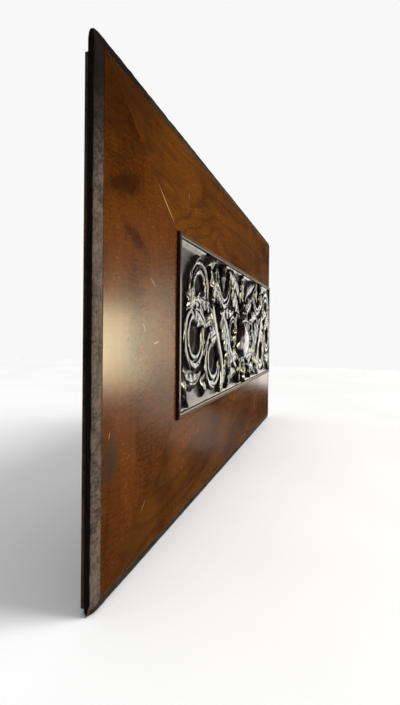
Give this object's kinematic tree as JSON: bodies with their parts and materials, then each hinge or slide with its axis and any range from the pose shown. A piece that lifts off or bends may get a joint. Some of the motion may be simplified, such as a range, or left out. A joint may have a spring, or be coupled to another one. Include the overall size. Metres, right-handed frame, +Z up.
{
  "type": "carved wooden wall plaque",
  "caption": "Rectangular wooden wall plaque: sloping mitred border boards rise to a dark panel carved with scrolling foliage around a vase; hangs flat on a wall.",
  "frame": {"origin": "centre of the flat back that lies against the wall", "axes": "+Z up, front of the plaque towards -Y, the wall towards +Y, +X to the right seen from the front"},
  "size_m": [0.76, 0.0382, 0.4],
  "materials": {
    "border": "varnished red-brown figured wood with a dark worn edge",
    "carving": "near-black stained and polished wood",
    "backboard": "dark unpolished thin board"
  },
  "bodies": {
    "root": {"backboard": "backboard", "border_top": "border", "border_right": "border", "border_bottom": "border", "border_left": "border", "carved_panel": "carving"}
  },
  "joints": []
}
